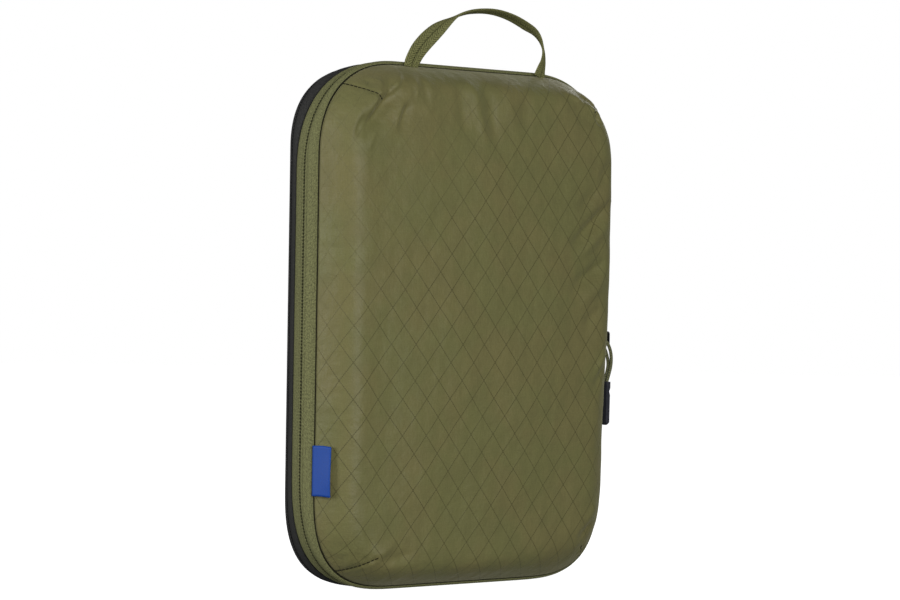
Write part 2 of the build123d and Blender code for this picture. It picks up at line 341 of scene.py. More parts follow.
class Paint:
    """A node material on one Principled shader, with short ways to add nodes."""

    def __init__(self, name):
        self.material = bpy.data.materials.new(name)
        self.material.use_nodes = True
        self.nodes = self.material.node_tree.nodes
        self.links = self.material.node_tree.links
        self.shader = self.nodes["Principled BSDF"]

    def put(self, socket, value):
        if isinstance(value, bpy.types.NodeSocket):
            self.links.new(value, socket)
        else:
            socket.default_value = value

    def node(self, kind, inputs=(), **settings):
        made = self.nodes.new("ShaderNode" + kind)
        for key, value in settings.items():
            setattr(made, key, value)
        for k, value in dict(inputs).items():
            self.put(made.inputs[k], value)
        return made

    def math(self, operation, a, b=0.0):
        return self.node("Math", {0: a, 1: b}, operation=operation).outputs[0]

    def times(self, a, b):
        return self.math("MULTIPLY", a, b)

    def plus(self, a, b):
        return self.math("ADD", a, b)

    def minus(self, a, b):
        return self.math("SUBTRACT", a, b)

    def zigzag(self, value, rate=1.0, height=0.5):
        """Goes up to height and back down again while value * rate grows by twice that."""
        return self.math("PINGPONG", self.times(value, rate), height)

    def ramp(self, value, low, high, to_low=0.0, to_high=1.0):
        """A smooth turn from to_low to to_high while the value goes from low to high."""
        made = self.node("MapRange", {0: value, 1: low, 2: high, 3: to_low, 4: to_high})
        made.interpolation_type = "SMOOTHSTEP"
        return made.outputs[0]

    def mix(self, share, a, b):
        made = self.node("Mix", data_type="RGBA")
        self.put(made.inputs[0], share)
        self.put(made.inputs[6], a)
        self.put(made.inputs[7], b)
        return made.outputs[2]

    def layers(self, colour, *rows):
        """Mixes colours in: by which value, from, to, how much at the most, and the colour."""
        for value, low, high, share, other in rows:
            colour = self.mix(self.ramp(value, low, high, 0.0, share), colour, other)
        return colour

    def noise(self, vector, scale, detail=3.0, roughness=0.5):
        made = self.node("TexNoise", {"Vector": vector, "Scale": scale, "Detail": detail})
        made.inputs["Roughness"].default_value = roughness
        return made.outputs[0]

    def mapped(self, vector, move=(0, 0, 0), scale=(1, 1, 1)):
        return self.node("Mapping", {0: vector, 1: move, 3: scale}).outputs[0]

    def own(self):
        """Coordinates in the piece's own frame, in metres."""
        return self.node("TexCoord").outputs["Object"]

    def uv(self):
        """The piece's own cloth coordinates, across and along, in millimetres."""
        pin = self.node("UVMap", uv_map="cloth")
        split = self.node("SeparateXYZ", {0: pin.outputs[0]})
        return pin.outputs[0], split.outputs[0], split.outputs[1]

    def soften(self, sheen, roughness, specular, tint=(1.0, 1.0, 1.0, 1.0)):
        """Sets the cloth's sheen and how little it mirrors."""
        self.set(Sheen_Weight=sheen, Sheen_Roughness=roughness, Sheen_Tint=tint)
        self.set(Specular_IOR_Level=specular)

    def bump(self, height, strength, distance):
        made = self.node("Bump", {"Height": height, "Strength": strength, "Distance": distance})
        self.links.new(made.outputs[0], self.shader.inputs["Normal"])

    def set(self, **values):
        for key, value in values.items():
            self.put(self.shader.inputs[key.replace("_", " ")], value)


def pale_floor():
    """A pale floor that stays light away from the lamps."""
    paint = Paint("pale_floor")
    speck = paint.ramp(paint.noise(paint.own(), 3.0), 0.3, 0.7, 0.0, 0.04)
    paint.set(Base_Color=paint.mix(speck, shade([0.86] * 3), shade([0.8] * 3)))
    paint.set(Roughness=0.95, Specular_IOR_Level=0.1)
    paint.set(Emission_Color=shade([1.0] * 3), Emission_Strength=0.97)
    return paint.material


DIAMOND_WIDE, DIAMOND_TALL = 19.1, 24.1  # one cell of the ripstop's grid
DOTS = 11.0  # dots along one side of a cell
THREAD_HALF = 0.028  # half of a thread's width, as a share of a cell
FADE_SLOPE, FADE_START, FADE_END = 0.9, -190, -70  # the grid is painted fainter towards the lit top left, where the sheen washes it out


def ripstop_material(name, cloth, line):
    """Thin coated nylon with a diamond ripstop grid of dotted threads."""
    paint = Paint(name)
    place, across, along = paint.uv()
    wide = paint.math("DIVIDE", across, DIAMOND_WIDE)
    tall = paint.math("DIVIDE", along, DIAMOND_TALL)
    up, down = paint.plus(wide, tall), paint.minus(wide, tall)
    threads = []
    for this, other in ((up, down), (down, up)):
        off = paint.zigzag(paint.plus(this, 0.5))
        near = paint.ramp(paint.minus(0.5, off), 0.0, THREAD_HALF, 1.0, 0.0)
        dot = paint.zigzag(other, DOTS * 2, 1.0)
        threads.append(paint.times(near, paint.ramp(dot, 0.25, 0.6, 0.35, 1.0)))
    thread = paint.math("MAXIMUM", *threads)
    cloud = paint.noise(place, 0.018, 4.0, 0.6)
    patch = paint.noise(paint.mapped(place, move=(40, 90, 0)), 0.055, 5.0, 0.65)
    yarn = paint.noise(paint.mapped(place, scale=(2.4, 0.10, 1)), 1.0, 2.0)
    weft = paint.noise(paint.mapped(place, scale=(0.10, 2.4, 1)), 1.0, 2.0)
    weave = paint.noise(place, 1.7, 2.0)
    red, green, blue = cloth
    greener, browner = shade((red * 0.95, green, blue * 0.95)), shade((red * 1.05, green, blue))
    darker = shade(cloth, 0.62)
    colour = paint.mix(paint.ramp(cloud, 0.38, 0.62), greener, browner)
    colour = paint.layers(
        colour,
        (patch, 0.35, 0.68, 0.24, darker),
        (yarn, 0.35, 0.65, 0.22, darker),
        (weft, 0.35, 0.65, 0.16, shade(cloth, 1.25)),
        (weave, 0.4, 0.7, 0.22, darker),
    )
    # painted highlight: the grid's threads fade towards the lit top left, where the sheen washes
    # them out, and they are also a little fainter at random
    corner = paint.minus(across, paint.times(along, FADE_SLOPE))
    fade = paint.ramp(corner, FADE_START, FADE_END, 0.2, 0.95)
    uneven = paint.times(fade, paint.ramp(cloud, 0.3, 0.6, 0.75, 1.0))
    paint.set(Base_Color=paint.mix(paint.times(thread, uneven), colour, shade(line)))
    paint.set(Roughness=paint.ramp(patch, 0.3, 0.7, 0.44, 0.56))
    paint.soften(0.2, 0.45, 0.2, shade(cloth, 3, 0.35))
    crinkle = paint.noise(place, 0.11, 4.0, 0.6)
    fine = paint.plus(paint.times(weave, 0.12), paint.times(thread, 0.2))
    paint.bump(paint.plus(paint.times(crinkle, 2.6), fine), 0.6, 0.0007)
    return paint.material


COIL_PITCH = 2.2
STITCH_ROW = 1.9  # from the tape's inner edge to the row of stitches that holds the coil


def tape_material(name, cloth, thread):
    """Woven zipper tape: fine ribs across it, a row of stitches beside the coil, and dashes of
    painted shade along its inner edge, where the gap over the coil is dark.
    """
    paint = Paint(name)
    place, across, along = paint.uv()
    weave = paint.times(paint.zigzag(along, 0.85), paint.zigzag(across, 0.75))
    beat = paint.zigzag(along, 1 / COIL_PITCH)
    off_row = paint.math("ABSOLUTE", paint.minus(across, STITCH_ROW))
    row = paint.ramp(off_row, 0.15, 0.45, 1.0, 0.0)
    stitch = paint.times(row, paint.ramp(beat, 0.1, 0.25))
    # painted shade: dark dashes, one for each turn of the coil, along the tape's inner edge where
    # the gap between the tapes is shaded; the same dashes also dip in the bump
    lip = paint.ramp(across, 0.25, 0.8, 1.0, 0.0)
    gap_shade_dashes = paint.times(lip, paint.ramp(beat, 0.15, 0.3))
    fuzz = paint.noise(place, 0.9, 3.0, 0.7)
    grain = paint.noise(place, 0.45, 2.0)
    colour = paint.mix(paint.ramp(fuzz, 0.34, 0.66), shade(cloth, 0.42), shade(cloth, 1.3))
    colour = paint.mix(paint.ramp(grain, 0.35, 0.65, 0.0, 0.3), colour, shade(cloth, 0.75))
    colour = paint.mix(paint.ramp(weave, 0.0, 0.08, 0.4, 0.0), colour, shade(cloth, 0.6))
    colour = paint.mix(paint.times(stitch, 0.45), colour, shade(thread))
    # the painted shade of the gap between the tapes
    colour = paint.mix(paint.times(gap_shade_dashes, 0.95), colour, shade(thread, 0.5))
    paint.set(Base_Color=colour, Roughness=paint.ramp(fuzz, 0.2, 0.8, 0.72, 0.88))
    paint.soften(0.12, 0.5, 0.2, shade(cloth, 4))
    paint.bump(paint.plus(paint.times(weave, 3.0), paint.minus(stitch, gap_shade_dashes)), 0.6, 0.0003)
    return paint.material


def webbing_material(name, cloth, dark):
    """Herringbone webbing: slanted ribs that turn at the middle of the strap, with painted shade
    along the groove down its middle.
    """
    paint = Paint(name)
    place, across, along = paint.uv()
    off = paint.math("ABSOLUTE", across)
    lean = paint.zigzag(off, height=3.1)
    raised = paint.ramp(paint.zigzag(paint.plus(along, lean), 0.55), 0.1, 0.36)
    pick = paint.zigzag(across, 1.3)
    yarn = paint.noise(place, 0.8, 3.0, 0.7)
    # painted shade: the strap is darker along its middle, where its groove lies
    groove_shade = paint.ramp(off, 0.15, 0.75, 1.0, 0.0)
    colour = paint.mix(paint.times(raised, 0.92), shade(dark), shade(cloth))
    colour = paint.mix(paint.ramp(pick, 0.0, 0.25, 0.45, 0.0), colour, shade(dark))
    colour = paint.mix(paint.ramp(yarn, 0.38, 0.62, 0.0, 0.5), colour, shade(cloth, 1.35))
    colour = paint.mix(paint.times(groove_shade, 0.6), colour, shade(dark, 0.6))
    paint.set(Base_Color=colour, Roughness=paint.ramp(yarn, 0.2, 0.8, 0.7, 0.86))
    paint.soften(0.1, 0.45, 0.15, shade(cloth, 4))
    paint.bump(paint.plus(raised, pick), 0.6, 0.0004)
    return paint.material


def moulded_material(name, colour, roughness, metallic=0.0):
    """Moulded plastic or painted metal with a faint grain and lighter patches of wear here and
    there.
    """
    paint = Paint(name)
    place = paint.own()
    grain = paint.noise(place, 2600.0, 2.0)
    cloud = paint.noise(place, 220.0, 3.0)
    uneven = paint.ramp(cloud, 0.35, 0.7, 0.0, 0.35)
    tint = paint.mix(uneven, shade(colour), shade(colour, 1.6, 0.004))
    paint.set(Base_Color=tint, Metallic=metallic)
    paint.set(Roughness=paint.ramp(cloud, 0.3, 0.7, roughness - 0.06, roughness + 0.08))
    paint.bump(grain, 0.15, 0.0001)
    return paint.material


def satin_material(name, colour):
    """Woven satin ribbon: a fine twill that catches the light across it."""
    paint = Paint(name)
    place, across, along = paint.uv()
    rib = paint.zigzag(paint.plus(across, along), 1.6)
    fuzz = paint.noise(place, 1.1, 3.0)
    tone = paint.mix(paint.ramp(rib, 0.1, 0.4), shade(colour, 0.75), shade(colour))
    tone = paint.mix(paint.ramp(fuzz, 0.3, 0.7, 0.0, 0.35), tone, shade(colour, 1.3, 0.003))
    paint.set(Base_Color=tone, Roughness=paint.ramp(fuzz, 0.2, 0.8, 0.45, 0.6))
    paint.soften(0.04, 0.4, 0.25)
    paint.bump(rib, 0.3, 0.0001)
    return paint.material


def woven_material(name, colour):
    """Plain dark or olive weave for small sewn pieces."""
    paint = Paint(name)
    place = paint.own()
    weave = paint.noise(place, 1400.0, 2.0)
    cloud = paint.noise(place, 130.0, 3.0)
    tone = paint.mix(paint.ramp(weave, 0.35, 0.65), shade(colour, 0.7), shade(colour, 1.15))
    paint.set(Base_Color=tone, Roughness=paint.ramp(cloud, 0.3, 0.7, 0.7, 0.88))
    paint.soften(0.05, 0.5, 0.1)
    paint.bump(weave, 0.4, 0.0002)
    return paint.material


BRAID_RATE = 900.0  # yarns in a metre of cord


def braid_material(name, light, dark):
    """A braided cord: two sets of slanted yarns over each other."""
    paint = Paint(name)
    x, y, z = paint.node("SeparateXYZ", {0: paint.own()}).outputs
    up = paint.times(z, BRAID_RATE)
    around = paint.times(paint.plus(x, y), BRAID_RATE)
    one, two = paint.zigzag(paint.plus(up, around)), paint.zigzag(paint.minus(up, around))
    yarn = paint.math("MAXIMUM", one, two)
    paint.set(Base_Color=paint.mix(paint.ramp(yarn, 0.2, 0.45), shade(dark), shade(light)))
    paint.set(Roughness=0.75, Sheen_Weight=0.2, Specular_IOR_Level=0.3)
    paint.bump(yarn, 0.5, 0.0002)
    return paint.material


OLIVE = (0.166, 0.156, 0.061)
OLIVE_TAPE = (0.185, 0.188, 0.080)
BLACK_CLOTH = (0.036, 0.036, 0.034)
make_camera()
make_stage()
ripstop = ripstop_material("olive_ripstop", OLIVE, (0.035, 0.032, 0.010))
olive_tape = tape_material("olive_zipper_tape", OLIVE_TAPE, (0.05, 0.05, 0.02))
black_tape = tape_material("black_zipper_tape", BLACK_CLOTH, (0.004, 0.004, 0.005))
olive_webbing = webbing_material("olive_webbing", (0.205, 0.205, 0.080), (0.036, 0.038, 0.012))
black_ripstop = ripstop_material("black_ripstop", (0.016, 0.018, 0.020), (0.006, 0.007, 0.008))
black_cloth = woven_material("black_hinge_cloth", BLACK_CLOTH)
# dark cloth for the seam allowances and the dart threads, also used as painted shade on the cords
# in the seam gaps
binding_and_seam_shade = woven_material("dark_seam_binding_and_shade", (0.013, 0.012, 0.005))
olive_fold = woven_material("olive_garage_cloth", OLIVE_TAPE)
label_satin = satin_material("blue_label_satin", (0.008, 0.062, 0.33))
nylon = moulded_material("dark_nylon_coil", (0.040, 0.040, 0.024), 0.5)
black_metal = moulded_material("black_painted_metal", (0.012, 0.012, 0.013), 0.38, 0.2)
black_plastic = moulded_material("black_moulded_plastic", (0.014, 0.014, 0.015), 0.45)
grey_plastic = moulded_material("grey_moulded_plastic", (0.024, 0.025, 0.033), 0.5)
olive_cord = braid_material("olive_braided_cord", (0.16, 0.165, 0.075), (0.05, 0.05, 0.022))


# -------- front panel
PANEL_CELLS = (210, 290)  # mesh cells across and up the panel
CLOTH_THICK = 0.5
EDGE_RISE, DOME_RISE = 25.5, 7.5  # how far the sewn edge and then the dome stand out
GROOVE = 0.6  # the panel starts this far inside the seam, and a dark cord shows between as painted shade in the seam's gap
LEFT_REACH = 25  # the edge has risen this far in from the seam on the left
RIGHT_REACH_FOOT, RIGHT_REACH_TOP = 42, 24  # and this far in on the right, low down and high up


def panel_rim(line):
    """X and Z round a line for each edge cell of the panel's grid, from the top right corner."""
    points = line.points()
    points = np.vstack([points, points[:1]])
    along = lengths_along(points)
    corners = [STRAIGHT + TURN // 2 + step * (2 * STRAIGHT + TURN) for step in range(4)]
    ends = [*along[corners], along[corners[0]] + along[-1]]
    spans = zip(ends, ends[1:], PANEL_CELLS * 2)
    marks = np.concatenate([np.linspace(a, b, n, endpoint=False) for a, b, n in spans])
    return sampled(points, along, marks % along[-1])


def edge_inset(x, z):
    """How far inside the front seam a point of the panel is."""
    line = front_seam
    up = z > centre_z
    radius = np.where(up, line.top, line.foot)
    power = np.where(up, TOP_POWER, FOOT_POWER)
    qx = np.maximum(np.abs(x) - (line.side - radius), 0)
    qz = np.maximum(np.abs(z - centre_z) - (line.half - radius), 0)
    return radius - (qx**power + qz**power) ** (1 / power)


def shaped_height(x, z):
    """How far the stuffed panel stands out of the seam's plane, before its folds."""
    inset = np.clip(edge_inset(x, z) - GROOVE, 0, None)
    fx, fz = x / front_seam.side, (z - centre_z) / front_seam.half
    right = blend_share(fx, 0.1, 0.9)
    high = blend_share(fz, -0.6, 0.35)
    right_reach = RIGHT_REACH_FOOT + (RIGHT_REACH_TOP - RIGHT_REACH_FOOT) * high
    reach = LEFT_REACH + right * (right_reach - LEFT_REACH)
    steep = 2.5 + 0.8 * (1 - right)
    share = 1 - (1 - np.clip(inset / reach, 0, 1)) ** steep
    dome = DOME_RISE * np.clip(1 - fx**2, 0, 1) * np.clip(1 - fz**2, 0, 1) ** 0.7
    # behind the full left edge the cloth sinks a little
    dip = 1.1 * (1 - right) * np.exp(-(((inset - 34) / 17) ** 2)) * blend_share(fz, -1.0, -0.3)
    return EDGE_RISE * share + dome - dip


# Each corner of the panel is taken in by a dart that is sewn from the seam inwards, in X and Z.
DARTS = [
    ((-110.0, 336.5), (-92.5, 325.0)),
    ((-110.5, 13.5), (-92.0, 24.8)),
    ((110.5, 337.5), (94.5, 326.0)),
    ((110.5, 13.5), (93.0, 24.5)),
]

# Folds of the cloth: X and Z from, X and Z to, half width, and height, below zero for a valley.
FOLD_GAIN = 1.9
FOLDS = [
    # round the top left dart
    (-82, 331, -108, 303, 5.0, -3.4), (-92, 333, -112, 311, 3.6, 1.5),
    (-80, 322, -92, 300, 6.0, 0.9), (-72, 322, -80, 306, 2.8, -1.3),
    (-77, 324, -85, 309, 2.4, 0.9), (-84, 338, -88, 330, 1.4, -0.7),
    (-90, 340, -93, 333, 1.2, 0.6), (-102, 314, -108, 297, 1.5, -0.7),
    (-98, 309, -105, 292, 1.7, 0.6), (-109, 316, -113, 296, 1.4, -0.6),
    (-60, 343, -57, 322, 2.6, -0.6), (-66, 341, -66, 326, 2.0, 0.5),
    (-86, 330, -71, 349, 2.6, 1.1), (-80, 330, -66, 347, 3.0, -0.7),
    (-93, 306, -74, 323, 4.0, -0.9), (-105.5, 332, -109, 322, 1.6, -0.9),
    (-97, 327, -97.5, 320, 1.5, -0.9), (-96, 339, -100, 332, 1.5, -0.8),
    (-107, 326, -115, 304, 2.2, 0.7), (-104, 322, -112, 300, 2.4, -0.6),
    (-101, 318, -107, 298, 2.4, 0.5),
    # round the bottom left dart
    (-101, 22, -97, 27, 1.5, -0.8), (-92, 25, -80, 34, 3.0, 0.8),
    (-88, 22, -66, 25, 4.0, -0.9), (-96, 30, -104, 46, 3.0, -0.6),
    # under the top edge
    (-30, 338, -24, 306, 5.0, -0.8), (-19, 342, -8, 300, 4.5, 0.9),
    (-6, 340, 4, 296, 5.0, -0.9), (12, 338, 16, 312, 4.5, 0.6),
    (30, 338, 27, 305, 6.0, -0.6), (-52, 340, -58, 312, 5.0, 0.5),
    # the crest over the top right corner and its dart
    (70, 339, 101, 324, 2.6, 1.3), (72, 330, 99, 316, 6.0, -1.0),
    (96, 327, 101, 318, 2.2, -1.8), (84, 341, 104, 330, 2.2, 1.2),
    (80, 336, 92, 326, 2.4, -0.9),
    # slanting wrinkles where the right side is pulled in
    (109, 262, 73, 234, 4.6, -2.2), (106, 248, 78, 226, 4.6, 1.2),
    (104, 222, 72, 204, 4.8, -1.9), (102, 208, 80, 194, 5.0, 1.0),
    (96, 272, 78, 258, 5.0, -1.0), (100, 190, 84, 178, 4.0, -0.8),
    (110, 292, 98, 276, 4.5, -0.9), (108, 160, 98, 146, 3.4, 0.9),
    (106, 150, 96, 134, 3.4, -0.9), (100, 40, 86, 30, 3.2, -1.0),
    (104, 52, 92, 42, 4.0, 0.8),
]


def along_segment(x, z, start, end):
    """Where each point is along a segment, from 0 to 1, and how far from it."""
    sx, sz = end[0] - start[0], end[1] - start[1]
    t = ((x - start[0]) * sx + (z - start[1]) * sz) / math.hypot(sx, sz) ** 2
    near = np.clip(t, 0, 1)
    return t, np.hypot(x - start[0] - near * sx, z - start[1] - near * sz)


PANEL_ASPECT = 175  # half of the panel's height, to tell its side edges from its top and foot
SLACK, PUCKER = 0.55, 0.14  # heights of the soft waves and of the puckers along the seam


def fold_height(x, z):
    """What the darts, folds and soft slackness of the cloth add to the panel's height."""
    inset = np.clip(edge_inset(x, z) - GROOVE, 0, None)
    added = np.zeros_like(x)
    for *ends, wide, height in FOLDS:
        t, away = along_segment(x, z, ends[:2], ends[2:])
        fade = blend_share(t, -0.25, 0.35) * (1 - blend_share(t, 0.6, 1.25))
        added += FOLD_GAIN * height * fade * np.exp(-((away / wide) ** 2))
    for start, end in DARTS:
        t, away = along_segment(x, z, start, end)
        ridge, slit = 0.9 * np.exp(-((away / 5.0) ** 2)), 1.9 * np.exp(-((away / 1.3) ** 2))
        added += (1 - blend_share(t, 0.8, 1.05)) * (ridge - slit)
        gather = np.sin(t * 26.0 + 1.0) * np.exp(-((away - 3.0) / 3.0) ** 2) * 0.35
        added += gather * blend_share(t, -0.1, 0.1) * (1 - blend_share(t, 0.9, 1.2))
    slack = np.sin(x * 0.061 + z * 0.017 + 0.6) * np.sin(z * 0.043 - x * 0.021)
    slack += 0.6 * np.sin(x * 0.11 - z * 0.052 + 2.0) * np.sin(z * 0.083 + x * 0.03 + 0.4)
    slack += 0.25 * np.sin(x * 0.31 + z * 0.12 + 1.3) * np.sin(z * 0.19 - x * 0.15 + 0.9)
    at_side = np.abs(x) / front_seam.side > np.abs(z - centre_z) / PANEL_ASPECT
    edge = np.where(at_side, z, x)
    sewn = np.sin(edge * 0.52 + 0.4 * np.sin(edge * 0.21)) + 0.6 * np.sin(edge * 0.93 + 1.1)
    sewn *= PUCKER * np.exp(-(((inset - 4.0) / 4.0) ** 2)) * (1 + 0.9 * np.sin(edge * 0.057 + 1.0))
    return (added + SLACK * slack + sewn) * blend_share(inset, 0.0, 3.0)


def panel_height(x, z):
    return shaped_height(x, z) + fold_height(x, z)


def cloth_coordinates(x, z, height, middle_z):
    """Where each point lay on the flat cloth: lengths along the surface from its middle."""
    steps, small = 36, 0.5

    def run(values, other, along_x):
        total = np.zeros_like(values)
        for f in (np.arange(steps) + 0.5) / steps:
            at = values * f
            if along_x:
                rise = height(at + small, other) - height(at - small, other)
            else:
                rise = height(other, middle_z + at + small) - height(other, middle_z + at - small)
            total += np.sqrt(1 + (rise / (2 * small)) ** 2) * values / steps
        return total

    return np.stack([run(x, z, True), run(z - middle_z, x, False)], -1)


def panel_mesh(name, line, height, sign, laid_flat=None):
    """A panel's cloth: a grid of squares in squares that ends on the line, at a height over it."""
    middle_z = line.middle
    across, up = PANEL_CELLS
    columns, rows = across + 1, up + 1
    rim = panel_rim(line)
    u, v = np.meshgrid(np.linspace(-1, 1, columns), np.linspace(-1, 1, rows))
    m = np.maximum(np.abs(u), np.abs(v))
    safe = np.where(m > 0, m, 1)
    un, vn = u / safe, v / safe
    top = vn >= 1 - 1e-9
    left = (un <= -1 + 1e-9) & ~top
    foot = (vn <= -1 + 1e-9) & ~top & ~left
    index = 2 * across + up + (vn + 1) / 2 * up
    index = np.where(top, (1 - un) / 2 * across, index)
    index = np.where(left, across + (1 - vn) / 2 * up, index)
    index = np.where(foot, across + up + (un + 1) / 2 * across, index)
    count = len(rim)
    closed = np.vstack([rim, rim[:1]])
    ox, oz = (np.interp(index % count, np.arange(count + 1), closed[:, k]) for k in range(2))
    spread = 1 - (1 - m) ** 1.2
    x, z = spread * ox, middle_z + spread * (oz - middle_z)
    points = np.stack([x, line.depth + sign * height(x, z), z], -1)
    uv = cloth_coordinates(x, z, laid_flat or height, middle_z)
    faces = grid_faces(rows, columns)
    if sign > 0:
        faces = [f[::-1] for f in faces]
    piece = make_mesh(name, points.reshape(-1, 3), faces, uv.reshape(-1, 2))
    thicken(piece, CLOTH_THICK, -1)
    return piece


def make_front_panel():
    rim = front_seam.inside(GROOVE, front_seam.depth)
    piece = panel_mesh("front_panel_cloth", rim, panel_height, -1, shaped_height)
    dress(piece, ripstop, ["front_panel"], "front_half")


def panel_point(x, z, lift):
    """The point lifted off the front panel at X and Z, and the panel's normal there."""
    step = 0.4
    places = ((x, z), (x + step, z), (x, z + step))
    here, beside, above = (float(panel_height(np.array(a), np.array(b))) for a, b in places)
    normal = np.array([(here - beside) / step, -1.0, (here - above) / step])
    normal /= np.linalg.norm(normal)
    return np.array([x, front_seam.depth - here, z]) + normal * lift, normal


STITCH_PITCH, STITCH_LIFT = 3.0, 0.35
# Along one stitch: share of the pitch, radius, and height over the thread's own line.
STITCH = [(0.06, 0.12, -0.25), (0.2, 0.3, 0), (0.5, 0.36, 0.08), (0.8, 0.3, 0), (0.94, 0.12, -0.25)]


def make_dart_stitches():
    """The dark thread along each dart: one stitch after another, sunk into the cloth."""
    points, faces, uv = [], [], []
    shares, radii, lifts = np.array(STITCH).T
    for start, end in np.array(DARTS):
        places = [start + (end - start) * t for t in np.linspace(0.07, 1.0, 120)]
        fine = [panel_point(x, z, STITCH_LIFT) for x, z in places]
        path, normals = (np.array(part) for part in zip(*fine))
        along = lengths_along(path)
        count = int(along[-1] / STITCH_PITCH)
        for k in range(count):
            marks = (k + shares) * along[-1] / count
            centre, up = sampled(path, along, marks), sampled(normals, along, marks)
            way = centre[-1] - centre[0]
            way /= np.linalg.norm(way)
            rings = zip(centre + up * lifts[:, None], radii, np.cross(way, up), up)
            add_tube(points, faces, uv, list(rings))
    piece = make_mesh("front_panel_dart_stitches", points, faces, uv)
    clean(piece, closed=True)
    dress(piece, binding_and_seam_shade, (), "front_half")


# -------- side wall
HINGE_SHORT = 16  # the hinge cloth stops this far below its CAD strip, off the parked slider
HALF_GAP = 0.42  # between a zipper's middle and each tape's edge


def in_hinge_zone(point):
    """True where the lid's cloth hinge crosses the right-hand wall."""
    return point[0] > 100 and hinge_low < point[2] < hinge_high - HINGE_SHORT


def off_hinge(point):
    return not in_hinge_zone(point)


def swept(section):
    """A grid of points and UVs for a list of lines, each one a row round the cube."""
    grid = np.array([np.insert(line.points(), 1, line.depth, axis=1) for line in section])
    uv = np.zeros(grid.shape[:2] + (2,))
    uv[..., 1] = lengths_along(grid[0])[None, :]
    return grid, uv


def band(name, section, thickness=0.8, keep=None):
    """A tape round the cube through a list of lines, the zipper's side first."""
    grid, uv = swept(section)
    across = [0.0]
    for a, b in zip(section, section[1:]):
        across.append(across[-1] + np.hypot(b.depth - a.depth, b.side - a.side))
    uv[..., 0] = np.array(across)[:, None]
    points = grid.reshape(-1, 3)
    faces = grid_faces(*grid.shape[:2], closed_columns=True)
    if keep:
        faces = [f for f in faces if keep(points[list(f)].mean(axis=0))]
    if section[0].depth > section[-1].depth:
        faces = [f[::-1] for f in faces]
    piece = make_mesh(name, points, faces, uv.reshape(-1, 2))
    thicken(piece, thickness, 1)
    clean(piece, closed=False)
    return piece


def hoop(name, line, inset, behind, wide, deep, count):
    """A closed hoop of oval section, at an inset from a line and a depth behind it."""
    turn = np.linspace(0, 2 * math.pi, count, endpoint=False)
    depth = line.depth + behind
    section = [
        line.inside(inset + wide / 2 * math.cos(t), depth + deep / 2 * math.sin(t)) for t in turn
    ]
    grid, uv = swept(section)
    uv[..., 0] = np.arange(count)[:, None] * 1.5
    faces = grid_faces(*grid.shape[:2], True, True)
    return make_mesh(name, grid.reshape(-1, 3), faces, uv.reshape(-1, 2))


COIL_INSET = 1.35  # how far inside the tapes the coils lie
# Along one turn of the coil's wire: share of its reach, and radius.
COIL_WIRE = [(-1.0, 0.35), (-0.85, 0.5), (0.55, 0.5), (0.9, 0.42), (1.0, 0.2)]


def coil_half(name, line, depth, reach, phase, keep):
    """One half of a coil zipper: a turn of nylon for each pitch along the line."""
    path = line.inside(COIL_INSET, depth).points()
    path = np.vstack([path, path[:1]])
    along = lengths_along(path)
    count = int(along[-1] / COIL_PITCH)
    marks = (np.arange(count) + phase) * along[-1] / count
    points, faces, uv = [], [], []
    for at, ahead in zip(sampled(path, along, marks), sampled(path, along, marks + 0.5)):
        if keep and not keep((at[0], depth, at[1])):
            continue
        way = np.array([ahead[0] - at[0], 0, ahead[1] - at[1]])
        way = way / max(np.linalg.norm(way), 1e-6)
        out = np.array([-way[2], 0, way[0]])
        add_tube(points, faces, uv, [
            (np.array([at[0], depth + reach * share, at[1]]), radius, way, out)
            for share, radius in COIL_WIRE
        ])
    turns = make_mesh(name, points, faces, uv)
    clean(turns, closed=True)
    return turns


def make_compression_tapes():
    front = [
        between(front_seam, compression_line, 1.0, coil_y - HALF_GAP),
        between(front_seam, compression_line, 0.9, coil_y - HALF_GAP - 1.1, 0.25),
        *bulge(front_seam, compression_line, (0.72, 0.65), (0.5, 1.1), (0.28, 1.15)),
        between(front_seam, compression_line, 0.12, front_seam.depth + 1.0, 0.75),
        *turned_in(front_seam, (0.0, 0.45), (0.9, 0.3), (1.9, 0.9)),
    ]
    piece = band("compression_tape_front_cloth", front)
    dress(piece, olive_tape, ["compression_tape_front"], "front_half")
    rear = [
        between(compression_line, middle_seam, 0.0, coil_y + HALF_GAP),
        *bulge(compression_line, middle_seam,
               (0.12, 0.2), (0.35, 0.45), (0.6, 0.55), (0.82, 0.4), (0.94, -0.1)),
        *turned_in(middle_seam, (0.9, -0.35), (2.2, -0.5)),
    ]
    piece = band("compression_tape_rear_cloth", rear)
    dress(piece, olive_tape, ["compression_tape_rear"], "middle_ring")


def make_main_tapes():
    """The black tapes, and the cloth that takes their place where the lid hinges."""
    front = [
        between(middle_seam, main_line, 1.0, main_y - HALF_GAP),
        *bulge(middle_seam, main_line, (0.85, 0.25), (0.6, 0.6), (0.35, 0.7), (0.14, 0.35)),
        *turned_in(middle_seam, (0.5, 0.4), (2.0, 0.4)),
    ]
    rear = [
        between(main_line, rear_seam, 0.0, main_y + HALF_GAP),
        *bulge(main_line, rear_seam,
               (0.14, 0.35), (0.35, 0.8), (0.6, 0.95), (0.85, 0.7), (0.97, 0.1)),
        *turned_in(rear_seam, (1.0, -0.3)),
    ]
    piece = band("main_tape_front_cloth", front, keep=off_hinge)
    dress(piece, black_tape, ["main_tape_front"], "middle_ring")
    piece = band("main_tape_rear_cloth", rear, keep=off_hinge)
    dress(piece, black_tape, ["main_tape_rear"], "rear_lid")
    strip = [
        *bulge(main_line, rear_seam,
               (0.97, 0.1), (0.75, 0.5), (0.5, 0.75), (0.3, 0.8), (0.12, 0.6)),
        *bulge(middle_seam, main_line,
               (1.0, 0.5), (0.85, 0.55), (0.65, 0.6), (0.4, 0.55), (0.14, 0.25)),
        *turned_in(middle_seam, (0.6, 0.4)),
    ]
    piece = band("lid_hinge_cloth", strip, 0.6, keep=in_hinge_zone)
    dress(piece, black_cloth, ["hinge_strip"])
    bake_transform(piece)


